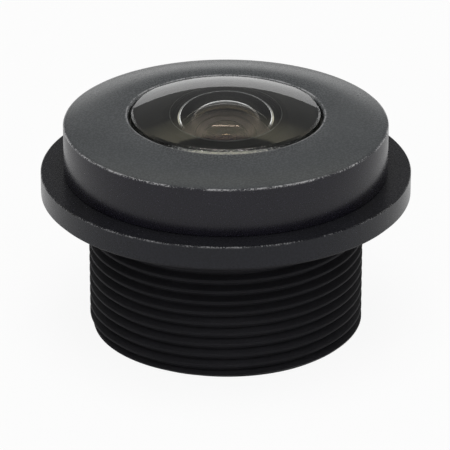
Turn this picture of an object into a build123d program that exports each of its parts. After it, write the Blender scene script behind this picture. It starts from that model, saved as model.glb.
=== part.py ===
from build123d import *
import math
import os

# A wide-angle board-camera lens with an M12 x 0.5 barrel thread, standing on its rear face.
# The frame has its origin at the centre of the rear face, with +Z along the optical axis to the scene.
# All sizes are millimetres, and angles are degrees.

# Barrel, outside
mount_thread_diameter = 12.0
mount_thread_pitch = 0.5
mount_thread_crest_allowance = 0.04
mount_thread_root_depth = 0.307
barrel_seat_height = 6.05
rear_edge_chamfer = 0.15
relief_width = 0.35
relief_below_root = 0.07
flange_undercut_width = 0.15
flange_undercut_depth = 0.10
flange_diameter = 16.0
flange_thickness = 1.10
flange_lower_chamfer = 0.13
flange_upper_break = 0.03

# Front cap and the barrel's neck inside it
cap_diameter = 14.0
cap_wall = 0.75
cap_thread_pitch = 0.5
cap_edge_drop = 0.40
cap_edge_break = 0.04
cap_lip_width = 1.05
cap_lip_thickness = 0.40
cap_opening_chamfer = 0.08
cap_relief_width = 0.36
cap_relief_depth = 0.09
cap_cavity_clearance = 0.15
cap_lead_chamfer = 0.12
neck_wall = 0.96
neck_relief_width = 0.28
neck_relief_depth = 0.10
neck_top_chamfer = 0.12
neck_rise_over_seat = 0.47

# Rear retaining ring
retainer_thread_diameter = 8.5
retainer_thread_pitch = 0.5
retainer_inset = 0.25
retainer_thickness = 0.90
retainer_wall = 1.55
retainer_relief_width = 0.30
retainer_relief_depth = 0.08
retainer_edge_chamfer = 0.08
spanner_slot_width = 0.80
spanner_slot_depth = 0.35
spanner_slot_count = 2
spanner_slot_angle = 90.0
rear_mouth_chamfer = 0.12

# Thread form shared by every thread, and the gaps of the two threaded fits
thread_flank_angle = 30.0
thread_crest_share = 1 / 8
thread_depth_share = 0.5413
thread_radial_gap = 0.02
thread_flank_gap = 0.015
cutter_overrun = 0.02
mount_ridge_height = 0.202
cap_ridge_height = 0.10
retainer_ridge_height = 0.05

# Bores and the running room of what drops into them
small_bore_radius = 2.92
large_bore_radius = 3.52
filter_bore_radius = 3.44
lens_edge_gap = 0.04
rear_ledge_width = 0.77

# Glass and rings, along the axis from the rear ring to the front cap
# A lens's land is the flat ring between its edge and its curved face.
washer_thickness = 0.10
washer_width = 0.60
filter_thickness = 0.30
rear_ledge_thickness = 0.45
rear_lens_edge = 0.60
rear_lens_front_land = 0.53
rear_lens_front_curve = 5.2
rear_lens_rear_land = 0.83
rear_lens_rear_curve = -9.0
rear_spacer_length = 0.75
rear_spacer_wall = 0.48
baffle_thickness = 0.05
rear_baffle_width = 0.78
doublet_rear_edge = 1.20
doublet_front_edge = 0.25
doublet_joint_curve = -5.5
doublet_front_land = 0.48
doublet_front_curve = 6.0
doublet_to_stop_gap = 0.12
stop_spacer_wall = 0.43
stop_thickness = 0.08
stop_hole_radius = 0.65
third_lens_edge = 0.64
third_lens_front_land = 0.58
third_lens_front_curve = 5.0
middle_spacer_length = 0.40
middle_spacer_wall = 0.53
second_lens_edge = 0.66
second_lens_front_land = 0.78
second_lens_front_curve = 4.5
second_lens_rear_clear = 1.65
second_lens_rear_curve = 1.9
front_spacer_length = 0.98
front_spacer_wall = 0.73
front_baffle_reveal = 0.10
spacer_chamfer = 0.08

# Front lens, its flat gasket and its seal ring
front_lens_edge = 0.87
front_lens_collar_height = 0.65
front_lens_collar_gap = 0.13
front_lens_crown_bevel = 0.09
front_lens_dome_curve = 10.5
front_lens_hollow_radius = 2.10
front_lens_hollow_curve = 2.82
front_lens_mouth_width = 0.25
front_lens_mouth_height = 0.20
front_lens_bevel = 0.08
gasket_thickness = 0.15
gasket_side_gap = 0.05
seal_section = 0.44
seal_side_gap = 0.04
seal_stand_proud = 0.09
seal_roof_gap = 0.01

class ThreadForm:
    """A 60 degree thread, with the ridge and groove widths that both halves of a fit share."""

    def __init__(self, diameter, pitch, ridge_height):
        self.nominal_radius = diameter / 2
        self.pitch = pitch
        self.ridge_height = ridge_height
        self.minor_radius = self.nominal_radius - thread_depth_share * pitch

    def half_groove(self, radius):
        """Half the basic gap between two ridges at this radius."""
        flank = (self.nominal_radius - radius) * math.tan(math.radians(thread_flank_angle))
        return self.pitch / 2 - thread_crest_share * self.pitch / 2 - flank

    def rod(self, crest, root, flank_gap, z_low, z_high):
        """A long threaded rod: what lies inside it between the two heights is the thread."""
        groove_low = z_low - self.pitch
        groove_high = z_high + self.pitch
        centre_height = self.ridge_height + self.pitch / 2
        start_angle = 360 * (groove_low - centre_height) / self.pitch
        mouth = crest + cutter_overrun
        half_root = self.half_groove(root) + flank_gap
        half_mouth = self.half_groove(mouth) + flank_gap
        width = mouth - root
        corners = [(0, -half_root), (width, -half_mouth), (width, half_mouth), (0, half_root)]
        section_plane = Plane(origin=(root, 0, 0), x_dir=(1, 0, 0), z_dir=(0, -1, 0))
        path = Helix(self.pitch, groove_high - groove_low, root)
        groove = sweep(section_plane * Polygon(*corners, align=None), path=path, is_frenet=True)
        stock_points = [(0, groove_low - self.pitch), (crest, groove_low - self.pitch)]
        stock_points += [(crest, groove_high + self.pitch), (0, groove_high + self.pitch)]
        return turned(stock_points) - Pos(0, 0, groove_low) * Rot(0, 0, start_angle) * groove

    def fitted_rod(self, z_low, z_high):
        """The rod whose thread runs with clearance in this form's inside thread."""
        crest = self.nominal_radius - thread_radial_gap
        root = self.minor_radius - thread_radial_gap
        return self.rod(crest, root, thread_flank_gap, z_low, z_high)

    def tap(self, z_low, z_high):
        """The rod to cut away for this form's inside thread."""
        root = self.minor_radius
        crest = self.nominal_radius + thread_radial_gap
        return self.rod(crest, root, -thread_flank_gap, z_low, z_high)


def sagitta(clear_radius, curve_radius):
    """How far a sphere surface stands over its edge, signed like its curve radius."""
    depth = abs(curve_radius) - math.sqrt(curve_radius**2 - clear_radius**2)
    return math.copysign(depth, curve_radius)


mount_thread = ThreadForm(mount_thread_diameter, mount_thread_pitch, mount_ridge_height)
cap_thread = ThreadForm(cap_diameter - 2 * cap_wall, cap_thread_pitch, cap_ridge_height)
retainer_thread = ThreadForm(retainer_thread_diameter, retainer_thread_pitch, retainer_ridge_height)

# Radii worked out from the sizes above, from the outside in
mount_crest_radius = mount_thread.nominal_radius - mount_thread_crest_allowance
mount_root_radius = mount_thread.nominal_radius - mount_thread_root_depth
relief_radius = mount_root_radius - relief_below_root
flange_undercut_radius = mount_thread.nominal_radius + flange_undercut_width
cap_relief_radius = cap_thread.nominal_radius + cap_relief_depth
neck_relief_radius = cap_thread.minor_radius - neck_relief_depth
front_bore_radius = cap_thread.nominal_radius - neck_wall
front_lens_radius = front_bore_radius - lens_edge_gap
cap_cavity_radius = front_lens_radius + cap_cavity_clearance
cap_opening_radius = front_lens_radius - cap_lip_width
front_lens_collar_radius = cap_opening_radius - front_lens_collar_gap
front_lens_dome_radius = front_lens_collar_radius - front_lens_crown_bevel
gasket_inner_radius = cap_opening_radius + gasket_side_gap
gasket_outer_radius = front_lens_radius - gasket_side_gap
seal_centre_radius = front_lens_radius + seal_side_gap + seal_section / 2
seal_groove_radius = seal_centre_radius + seal_section / 2 + seal_side_gap / 2
large_edge_radius = large_bore_radius - lens_edge_gap
front_spacer_bore_radius = large_edge_radius - front_spacer_wall
front_baffle_bore_radius = front_lens_hollow_radius + front_baffle_reveal
second_lens_front_clear = large_edge_radius - second_lens_front_land
small_edge_radius = small_bore_radius - lens_edge_gap
middle_spacer_bore_radius = small_edge_radius - middle_spacer_wall
third_lens_front_clear = small_edge_radius - third_lens_front_land
stop_spacer_bore_radius = small_edge_radius - stop_spacer_wall
doublet_front_clear = small_edge_radius - doublet_front_land
rear_baffle_bore_radius = small_edge_radius - rear_baffle_width
rear_spacer_bore_radius = small_edge_radius - rear_spacer_wall
rear_lens_front_clear = small_edge_radius - rear_lens_front_land
rear_lens_rear_clear = small_edge_radius - rear_lens_rear_land
rear_ledge_opening_radius = small_bore_radius - rear_ledge_width
filter_radius = filter_bore_radius - lens_edge_gap
washer_bore_radius = filter_radius - washer_width
retainer_bore_radius = retainer_thread.nominal_radius - retainer_wall
retainer_relief_radius = retainer_thread.nominal_radius + retainer_relief_depth

# Heights worked out from the sizes above, from the rear face up
retainer_top = retainer_inset + retainer_thickness
washer_top = retainer_top + washer_thickness
retainer_seat_step = retainer_top + washer_thickness / 2
filter_top = washer_top + filter_thickness
rear_lens_seat = filter_top + rear_ledge_thickness
rear_lens_rim = rear_lens_seat + rear_lens_edge
rear_spacer_top = rear_lens_rim + rear_spacer_length
doublet_seat = rear_spacer_top + baffle_thickness
doublet_joint_rim = doublet_seat + doublet_rear_edge
doublet_rim = doublet_joint_rim + doublet_front_edge
stop_spacer_length = sagitta(doublet_front_clear, doublet_front_curve) + doublet_to_stop_gap
stop_seat = doublet_rim + stop_spacer_length
third_lens_seat = stop_seat + stop_thickness
third_lens_rim = third_lens_seat + third_lens_edge
second_lens_seat = third_lens_rim + middle_spacer_length
second_lens_rim = second_lens_seat + second_lens_edge
front_spacer_top = second_lens_rim + front_spacer_length
front_lens_seat = front_spacer_top + baffle_thickness
front_lens_shoulder = front_lens_seat + front_lens_edge
gasket_top = front_lens_shoulder + gasket_thickness
cap_rim_top = gasket_top + cap_lip_thickness
cap_edge_top = cap_rim_top - cap_edge_drop
neck_top = front_lens_seat + neck_rise_over_seat
seal_groove_floor = neck_top - seal_section + seal_stand_proud
cap_roof = neck_top + seal_stand_proud + seal_roof_gap
thread_top = barrel_seat_height - relief_width
flange_top = barrel_seat_height + flange_thickness
neck_thread_foot = flange_top + neck_relief_width


def turned(points):
    """A solid of revolution about the axis from radius and height points."""
    return revolve(Plane.XZ * Polygon(*points, align=None), Axis.Z)


def ring(inner_radius, outer_radius, z_low, z_high, chamfer=0.0):
    """A flat ring, with its two inner edges broken where a chamfer is given."""
    outer_side = [(outer_radius, z_low), (outer_radius, z_high)]
    if chamfer == 0:
        return turned([(inner_radius, z_low), *outer_side, (inner_radius, z_high)])
    lower_edge = [(inner_radius, z_low + chamfer), (inner_radius + chamfer, z_low)]
    upper_edge = [(inner_radius + chamfer, z_high), (inner_radius, z_high - chamfer)]
    return turned(lower_edge + outer_side + upper_edge)


def surface_arc(clear_radius, curve_radius, rim_height, from_axis):
    """One optical surface's half section, from the axis out or from the rim in."""
    rise = sagitta(clear_radius, curve_radius)
    middle_rise = rise - sagitta(clear_radius / 2, curve_radius)
    vertex = (0, rim_height + rise)
    middle = (clear_radius / 2, rim_height + middle_rise)
    rim = (clear_radius, rim_height)
    return ThreePointArc(vertex, middle, rim) if from_axis else ThreePointArc(rim, middle, vertex)


def revolved_lens(front, outline, rear):
    """A lens from its front arc, the points round its edge, and its rear arc or axis point."""
    edge_line = Polyline(front @ 1, *outline)
    end = rear if isinstance(rear, tuple) else rear @ 1
    lines = [front, edge_line, Line(end, front @ 0)]
    if not isinstance(rear, tuple):
        lines.append(rear)
    return revolve(Plane.XZ * make_face(lines), Axis.Z)


def simple_lens(edge_radius, seat, rim, front_clear, front_curve, rear_clear=None, rear_curve=None):
    """A lens with flat rims: its rear face is flat too where no rear curve is given."""
    front = surface_arc(front_clear, front_curve, rim, from_axis=True)
    outline = [(edge_radius, rim), (edge_radius, seat)]
    if rear_curve is None:
        return revolved_lens(front, outline + [(0, seat)], (0, seat))
    rear = surface_arc(rear_clear, rear_curve, seat, from_axis=False)
    return revolved_lens(front, outline + [(rear_clear, seat)], rear)


def split_into_quarters(solid):
    """The same solid with its faces parted at two upright planes.

    No thread crest face then winds more than a quarter turn, so its diameter can be gauged at one height.
    """
    planes = [Plane(origin=(0, 0, 0), x_dir=(0, 0, 1), z_dir=turned_by(angle)) for angle in (35, 125)]
    pieces = [solid]
    for plane in planes:
        pieces = [half for piece in pieces for half in split(piece, plane, keep=Keep.BOTH).solids()]
    outer_faces = [face for piece in pieces for face in piece.faces() if not lies_in(face, planes)]
    return Solid(Shell(outer_faces))


def turned_by(angle):
    """The level direction at this angle from +X."""
    return (math.cos(math.radians(angle)), math.sin(math.radians(angle)), 0)


def lies_in(face, planes, tolerance=1e-5):
    """Whether a face is flat and lies in one of the planes through the axis."""
    if face.geom_type != GeomType.PLANE:
        return False
    for plane in planes:
        square_on = abs(abs(face.normal_at().dot(plane.z_dir)) - 1) < tolerance
        if square_on and abs(face.center().dot(plane.z_dir)) < tolerance:
            return True
    return False


def make_thread_sleeve():
    """The barrel behind its flange: the mount thread outside, the filter's seat and ring thread inside."""
    inside = retainer_thread.minor_radius
    relief_low = retainer_seat_step - retainer_relief_width
    points = [
        (inside + rear_mouth_chamfer, 0),
        (inside - cutter_overrun, rear_mouth_chamfer + cutter_overrun),
        (inside - cutter_overrun, relief_low),
        (retainer_relief_radius, relief_low),
        (retainer_relief_radius, retainer_seat_step),
        (filter_bore_radius, retainer_seat_step),
        (filter_bore_radius, filter_top),
        (rear_ledge_opening_radius, filter_top),
        (rear_ledge_opening_radius, rear_lens_seat),
        (small_bore_radius, rear_lens_seat),
        (small_bore_radius, thread_top),
        (mount_crest_radius, thread_top),
        (mount_crest_radius, rear_edge_chamfer),
        (mount_crest_radius - rear_edge_chamfer, 0),
    ]
    blank = turned(points) & mount_thread.rod(mount_crest_radius, mount_root_radius, 0, 0, thread_top)
    tap_room = [(0, -rear_edge_chamfer), (relief_radius, -rear_edge_chamfer)]
    tap_room += [(relief_radius, relief_low), (0, relief_low)]
    return blank - (retainer_thread.tap(0, relief_low) & turned(tap_room))


def make_front_bores():
    """What is turned out of the barrel ahead of its mount thread, up to the neck's mouth."""
    bottom = thread_top - cutter_overrun
    top = neck_top + cutter_overrun
    points = [
        (0, bottom),
        (small_bore_radius, bottom),
        (small_bore_radius, second_lens_seat),
        (large_bore_radius, second_lens_seat),
        (large_bore_radius, front_lens_seat),
        (front_bore_radius, front_lens_seat),
        (front_bore_radius, seal_groove_floor),
        (seal_groove_radius, seal_groove_floor),
        (seal_groove_radius, top),
        (0, top),
    ]
    return turned(points)


def make_flange_section():
    """The barrel's middle: the thread's relief, the flange and the foot of the neck."""
    flange_radius = flange_diameter / 2
    points = [
        (0, thread_top),
        (relief_radius, thread_top),
        (relief_radius, barrel_seat_height + flange_undercut_depth),
        (flange_undercut_radius, barrel_seat_height + flange_undercut_depth),
        (flange_undercut_radius, barrel_seat_height),
        (flange_radius - flange_lower_chamfer, barrel_seat_height),
        (flange_radius, barrel_seat_height + flange_lower_chamfer),
        (flange_radius, flange_top - flange_upper_break),
        (flange_radius - flange_upper_break, flange_top),
        (neck_relief_radius, flange_top),
        (neck_relief_radius, neck_thread_foot),
        (0, neck_thread_foot),
    ]
    return turned(points) - make_front_bores()


def make_neck():
    """The barrel's threaded neck, bored for the front lens and its seal ring."""
    crest = cap_thread.nominal_radius - thread_radial_gap
    points = [
        (0, neck_thread_foot),
        (crest, neck_thread_foot),
        (crest, neck_top - neck_top_chamfer),
        (crest - neck_top_chamfer, neck_top),
        (0, neck_top),
    ]
    threaded = turned(points) & cap_thread.fitted_rod(neck_thread_foot, neck_top)
    return threaded - make_front_bores()


def make_barrel():
    """The whole barrel, one turned piece from the rear face to the neck's mouth."""
    body = make_thread_sleeve() + make_flange_section() + make_neck()
    return split_into_quarters(body.solid())


def make_front_cap():
    """The screw-on cap: a cone-faced head whose lip holds the front lens down."""
    outer = cap_diameter / 2
    cone_width = outer - cap_opening_radius - cap_opening_chamfer
    break_rise = cap_edge_break * cap_edge_drop / cone_width
    thread_end = cap_roof - cap_relief_width
    head_points = [
        (cap_relief_radius, thread_end),
        (outer, thread_end),
        (outer, cap_edge_top - cap_edge_break),
        (outer - cap_edge_break, cap_edge_top + break_rise),
        (cap_opening_radius + cap_opening_chamfer, cap_rim_top),
        (cap_opening_radius, cap_rim_top - cap_opening_chamfer),
        (cap_opening_radius, gasket_top),
        (cap_cavity_radius, gasket_top),
        (cap_cavity_radius, cap_roof),
        (cap_relief_radius, cap_roof),
    ]
    mouth_radius = cap_thread.minor_radius + cap_lead_chamfer
    skirt_points = [
        (mouth_radius, flange_top),
        (outer, flange_top),
        (outer, thread_end),
        (cap_cavity_radius, thread_end),
        (cap_cavity_radius, flange_top + mouth_radius - cap_cavity_radius),
    ]
    skirt = turned(skirt_points) - cap_thread.tap(flange_top, thread_end)
    return (skirt + turned(head_points)).solid()


def make_rear_retainer():
    """The threaded ring that holds the filter, with slots across its rear face for a spanner."""
    crest = retainer_thread.nominal_radius - thread_radial_gap
    points = [
        (retainer_bore_radius, retainer_inset + retainer_edge_chamfer),
        (retainer_bore_radius + retainer_edge_chamfer, retainer_inset),
        (crest - retainer_edge_chamfer, retainer_inset),
        (crest, retainer_inset + retainer_edge_chamfer),
        (crest, retainer_top - retainer_edge_chamfer),
        (crest - retainer_edge_chamfer, retainer_top),
        (retainer_bore_radius, retainer_top),
    ]
    body = turned(points) & retainer_thread.fitted_rod(retainer_inset, retainer_top)
    slot_length = 2 * (crest - retainer_bore_radius)
    slot = Pos(crest, 0, retainer_inset) * Box(slot_length, spanner_slot_width, 2 * spanner_slot_depth)
    for index in range(spanner_slot_count):
        body -= Rot(0, 0, spanner_slot_angle + 360 / spanner_slot_count * index) * slot
    return body.solid()


def make_front_lens():
    """The domed outer lens, with a shoulder under the cap's lip and a cone-mouthed hollow behind."""
    collar_top = front_lens_shoulder + front_lens_collar_height
    hollow_rim = front_lens_seat + front_lens_mouth_height
    front = surface_arc(front_lens_dome_radius, front_lens_dome_curve, collar_top, from_axis=True)
    rear = surface_arc(front_lens_hollow_radius, front_lens_hollow_curve, hollow_rim, from_axis=False)
    outline = [
        (front_lens_collar_radius, collar_top - front_lens_crown_bevel),
        (front_lens_collar_radius, front_lens_shoulder),
        (front_lens_radius - front_lens_bevel, front_lens_shoulder),
        (front_lens_radius, front_lens_shoulder - front_lens_bevel),
        (front_lens_radius, front_lens_seat + front_lens_bevel),
        (front_lens_radius - front_lens_bevel, front_lens_seat),
        (front_lens_hollow_radius + front_lens_mouth_width, front_lens_seat),
        (front_lens_hollow_radius, hollow_rim),
    ]
    return revolved_lens(front, outline, rear)


def make_second_lens():
    """The second negative lens, seated on the step between the two bores."""
    return simple_lens(
        large_edge_radius,
        second_lens_seat,
        second_lens_rim,
        second_lens_front_clear,
        second_lens_front_curve,
        second_lens_rear_clear,
        second_lens_rear_curve,
    )


def make_third_lens():
    """The positive lens in front of the stop, flat behind."""
    return simple_lens(
        small_edge_radius,
        third_lens_seat,
        third_lens_rim,
        third_lens_front_clear,
        third_lens_front_curve,
    )


def make_doublet_front():
    """The positive half of the cemented pair, bulging into the rear half."""
    front = surface_arc(doublet_front_clear, doublet_front_curve, doublet_rim, from_axis=True)
    rear = surface_arc(small_edge_radius, doublet_joint_curve, doublet_joint_rim, from_axis=False)
    outline = [(small_edge_radius, doublet_rim), (small_edge_radius, doublet_joint_rim)]
    return revolved_lens(front, outline, rear)


def make_doublet_rear():
    """The negative half of the cemented pair, hollow in front and flat behind."""
    front = surface_arc(small_edge_radius, doublet_joint_curve, doublet_joint_rim, from_axis=True)
    outline = [(small_edge_radius, doublet_seat), (0, doublet_seat)]
    return revolved_lens(front, outline, (0, doublet_seat))


def make_rear_lens():
    """The last positive lens, seated on the rear ledge."""
    return simple_lens(
        small_edge_radius,
        rear_lens_seat,
        rear_lens_rim,
        rear_lens_front_clear,
        rear_lens_front_curve,
        rear_lens_rear_clear,
        rear_lens_rear_curve,
    )


def make_seal_ring():
    """The rubber ring round the front lens, in the groove at the neck's mouth."""
    seal_height = seal_groove_floor + seal_section / 2
    return Pos(0, 0, seal_height) * Torus(seal_centre_radius, seal_section / 2)


pieces = {
    "barrel": make_barrel(),
    "front_cap": make_front_cap(),
    "front_gasket": ring(gasket_inner_radius, gasket_outer_radius, front_lens_shoulder, gasket_top),
    "seal_ring": make_seal_ring(),
    "front_lens": make_front_lens(),
    "front_baffle": ring(front_baffle_bore_radius, large_edge_radius, front_spacer_top, front_lens_seat),
    "front_spacer": ring(
        front_spacer_bore_radius, large_edge_radius, second_lens_rim, front_spacer_top, spacer_chamfer
    ),
    "second_lens": make_second_lens(),
    "middle_spacer": ring(
        middle_spacer_bore_radius, small_edge_radius, third_lens_rim, second_lens_seat, spacer_chamfer
    ),
    "third_lens": make_third_lens(),
    "aperture_stop": ring(stop_hole_radius, small_edge_radius, stop_seat, third_lens_seat),
    "stop_spacer": ring(stop_spacer_bore_radius, small_edge_radius, doublet_rim, stop_seat, spacer_chamfer),
    "doublet_front_lens": make_doublet_front(),
    "doublet_rear_lens": make_doublet_rear(),
    "rear_baffle": ring(rear_baffle_bore_radius, small_edge_radius, rear_spacer_top, doublet_seat),
    "rear_spacer": ring(
        rear_spacer_bore_radius, small_edge_radius, rear_lens_rim, rear_spacer_top, spacer_chamfer
    ),
    "rear_lens": make_rear_lens(),
    "infrared_filter": Pos(0, 0, washer_top)
    * Cylinder(filter_radius, filter_thickness, align=(Align.CENTER, Align.CENTER, Align.MIN)),
    "filter_washer": ring(washer_bore_radius, filter_radius, retainer_top, washer_top),
    "rear_retainer": make_rear_retainer(),
}

os.makedirs("parts", exist_ok=True)
for name, piece in pieces.items():
    export_step(piece, f"parts/{name}.step")
    print(f"{name}: {piece.volume:.4f} mm3")
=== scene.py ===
"""Dressing and studio for an s-mount board-camera lens that stands on its rear face.

The lens's sizes are in millimetres over the centre of the barrel's rear face, with +Z along the optical axis.
Its meshes are shaped in millimetres and brought to metres as their last step. The studio is in metres.
"""

import logging
import math
from collections.abc import Iterator
from dataclasses import dataclass
from enum import Enum, IntEnum

import bmesh
import bpy
from mathutils import Matrix, Vector

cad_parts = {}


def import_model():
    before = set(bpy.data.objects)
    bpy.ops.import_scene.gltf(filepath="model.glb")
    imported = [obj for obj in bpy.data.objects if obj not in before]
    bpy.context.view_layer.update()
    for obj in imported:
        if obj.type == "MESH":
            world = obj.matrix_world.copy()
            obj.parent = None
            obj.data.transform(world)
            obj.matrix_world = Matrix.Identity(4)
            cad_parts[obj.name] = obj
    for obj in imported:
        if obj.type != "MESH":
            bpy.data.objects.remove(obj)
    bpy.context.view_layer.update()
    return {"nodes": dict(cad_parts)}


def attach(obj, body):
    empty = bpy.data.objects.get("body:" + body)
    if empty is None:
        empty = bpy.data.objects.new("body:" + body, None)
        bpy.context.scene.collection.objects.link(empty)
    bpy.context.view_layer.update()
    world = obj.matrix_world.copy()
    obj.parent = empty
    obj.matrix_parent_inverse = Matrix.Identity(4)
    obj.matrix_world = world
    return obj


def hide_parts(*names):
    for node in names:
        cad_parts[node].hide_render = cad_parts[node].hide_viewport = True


LOG = logging.getLogger("board_lens")
METRES = 0.001

# In millimetres: how near points lie to be merged, to count as level and to count as on a cutting plane,
# and the gap that is left between flat pieces that touch.
MERGE_GAP = 2e-4
LEVEL_GAP = 1e-3
CUT_GAP = 1e-5
CONTACT_GAP = 0.003

SHARP_ANGLE = math.radians(34)
NOISE_SPAN = (0.3, 0.7)

Point = tuple[float, float]
Colour = tuple[float, float, float]
Shell = bmesh.types.BMesh
Vert = bmesh.types.BMVert
Edge = bmesh.types.BMEdge
Finish = bpy.types.Material
Socket = bpy.types.NodeSocket


class Body(Enum):
    """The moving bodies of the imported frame."""

    BARREL = "barrel"
    CAP = "front_cap"
    GASKET = "gasket"
    WASHER = "washer"
    RETAINER = "rear_retainer"


class Side(Enum):
    """Which way a turned or threaded face looks: away from the axis or towards it."""

    OUTSIDE = 1
    INSIDE = -1


class GlassPart(IntEnum):
    """The parts of the front lens with a finish each, in the order of its materials."""

    CLEAR = 0
    INKED = 1
    GROUND = 2
    HOLLOW = 3
    STRIP = 4


# Shaping


def lens_rise(clear_radius: float, curve: float) -> float:
    """How far a spherical surface stands over its rim, negative where its curve is."""
    return math.copysign(abs(curve) - math.sqrt(curve * curve - clear_radius * clear_radius), curve)


def whole_turn(mesh: Shell, steps: int, rise: float = 0.0) -> None:
    """Turns all that a mesh holds once about the axis, as a screw where it rises.

    Args:
        mesh: what is turned.
        steps: facets round the turn.
        rise: how far the turn climbs.
    """
    bmesh.ops.spin(
        mesh,
        geom=mesh.verts[:] + mesh.edges[:],
        cent=(0, 0, 0),
        axis=(0, 0, 1),
        dvec=(0, 0, rise / steps),
        angle=math.tau,
        steps=steps,
        use_merge=not rise,
    )


def of_kind(items: list, kind: type) -> list:
    """The items of one kind: the vertices or the edges."""
    return [item for item in items if isinstance(item, kind)]


class Section:
    """A half section in the XZ plane, drawn point by point and then turned about the axis."""

    def __init__(self, start: Point) -> None:
        """Starts the section at a radius and height."""
        self.mesh = bmesh.new()
        self.first = self.last = self.mesh.verts.new((start[0], 0, start[1]))

    def to(self, *points: Point) -> "Section":
        """Draws straight on to each point in turn.

        Args:
            points: radius and height of each next corner.

        Returns:
            The section itself.
        """
        for radius, height in points:
            self.last = bmesh.ops.extrude_vert_indiv(self.mesh, verts=[self.last])["verts"][0]
            self.last.co = (radius, 0, height)
        return self

    def swing(self, centre: Point, turn: float, steps: int) -> None:
        """Draws a round arc on from the last point.

        Args:
            centre: radius and height of its centre.
            turn: its angle about +Y.
            steps: how many edges it gets.
        """
        middle = (centre[0], 0, centre[1])
        spun = bmesh.ops.spin(
            self.mesh, geom=[self.last], cent=middle, axis=(0, 1, 0), angle=turn, steps=steps
        )
        self.last = of_kind(spun["geom_last"], Vert)[0]

    def arc(self, radius: float, height: float, curve: float, steps: int) -> None:
        """Draws an optical surface on from the last point, which lies on the axis or on the rim.

        Args:
            radius: radius of the end point.
            height: height of the end point.
            curve: radius of curvature, positive where the centre lies under the surface.
            steps: how many edges the arc gets.
        """
        from_axis = self.last.co.x < radius
        centre = (self.last.co.z if from_axis else height) - curve
        way = 1 if curve > 0 else -1
        begin = math.atan2(self.last.co.x, way * (self.last.co.z - centre))
        end = math.atan2(radius, way * (height - centre))
        self.swing((0, centre), way * (end - begin), steps)
        self.last.co = (radius, 0, height)

    def turned(self, steps: int) -> Shell:
        """Turns the section about the axis, closed first unless both its ends lie on the axis.

        Args:
            steps: facets round the full turn.

        Returns:
            The turned shell, with its seam and poles merged.
        """
        if not (self.first.co.x == 0 and self.last.co.x == 0):
            self.mesh.edges.new((self.last, self.first))
        whole_turn(self.mesh, steps)
        bmesh.ops.remove_doubles(self.mesh, verts=self.mesh.verts[:], dist=MERGE_GAP)
        return self.mesh


@dataclass(frozen=True)
class EndCone:
    """The 45 degree chamfer at one end of a thread."""

    edge_radius: float
    face_height: float
    side: Side

    def held(self, radius: float, height: float) -> float:
        """The radius at this height, kept inside or outside the chamfer."""
        reach = self.edge_radius + self.side.value * abs(height - self.face_height)
        return min(radius, reach) if self.side is Side.OUTSIDE else max(radius, reach)


@dataclass(frozen=True)
class Thread:
    """A right-hand 60 degree thread between two heights."""

    nominal_radius: float
    crest_radius: float
    root_radius: float
    ridge_height: float
    low: float
    high: float
    cone: EndCone
    flank_gap: float = 0.0
    pitch: float = 0.5
    flank_angle: float = 30.0
    flat_share: float = 1 / 8
    crest_round: float = 0.012

    def half_groove(self, radius: float) -> float:
        """Half the gap between two ridges at this radius."""
        flank = (self.nominal_radius - radius) * math.tan(math.radians(self.flank_angle))
        return self.pitch / 2 * (1 - self.flat_share) - flank + self.flank_gap

    def wind(self, mesh: Shell, steps: int) -> tuple[list, list]:
        """Winds the thread's surface into a mesh as an open sleeve.

        Args:
            mesh: where the sleeve goes.
            steps: facets round one turn.

        Returns:
            The edges of its lower and of its upper opening.
        """
        sleeve = bmesh.new()
        first_turn = math.floor((self.low - self.ridge_height) / self.pitch) - 1
        turns = math.ceil((self.high - self.low) / self.pitch) + 3
        centre = self.ridge_height + first_turn * self.pitch
        root = self.pitch / 2 - self.half_groove(self.root_radius)
        crest = self.pitch / 2 - self.half_groove(self.crest_radius)
        flank = [
            (self.crest_radius, crest - self.crest_round),
            (self.crest_radius - self.crest_round, crest + self.crest_round / 2),
            ((self.root_radius + self.crest_radius) / 2, (root + crest) / 2),
            (self.root_radius, root),
        ]
        lower_flank = [(radius, -rise) for radius, rise in reversed(flank)]
        profile = lower_flank + flank + [(self.root_radius, self.pitch - root)]
        corners = [sleeve.verts.new((radius, 0, centre + rise)) for radius, rise in profile]
        for low, high in zip(corners, corners[1:]):
            sleeve.edges.new((low, high))
        whole_turn(sleeve, steps, self.pitch)
        one_turn = sleeve.verts[:] + sleeve.edges[:] + sleeve.faces[:]
        for turn in range(1, turns):
            copied = bmesh.ops.duplicate(sleeve, geom=one_turn)["geom"]
            bmesh.ops.translate(sleeve, verts=of_kind(copied, Vert), vec=(0, 0, self.pitch * turn))
        bmesh.ops.remove_doubles(sleeve, verts=sleeve.verts[:], dist=MERGE_GAP)
        for vert in sleeve.verts:
            radius = math.hypot(vert.co.x, vert.co.y)
            share = self.cone.held(radius, vert.co.z) / radius
            vert.co.x *= share
            vert.co.y *= share
        for height, keep_above in ((self.low, True), (self.high, False)):
            bmesh.ops.bisect_plane(
                sleeve,
                geom=sleeve.verts[:] + sleeve.edges[:] + sleeve.faces[:],
                dist=CUT_GAP,
                plane_co=(0, 0, height),
                plane_no=(0, 0, 1),
                clear_inner=keep_above,
                clear_outer=not keep_above,
            )
        held = bpy.data.meshes.new("thread_sleeve")
        sleeve.to_mesh(held)
        sleeve.free()
        known = set(mesh.verts)
        mesh.from_mesh(held)
        bpy.data.meshes.remove(held)
        fresh = [edge for edge in mesh.edges if edge.is_boundary and edge.verts[0] not in known]
        return tuple(
            [edge for edge in fresh if all(abs(vert.co.z - height) < LEVEL_GAP for vert in edge.verts)]
            for height in (self.low, self.high)
        )


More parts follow.
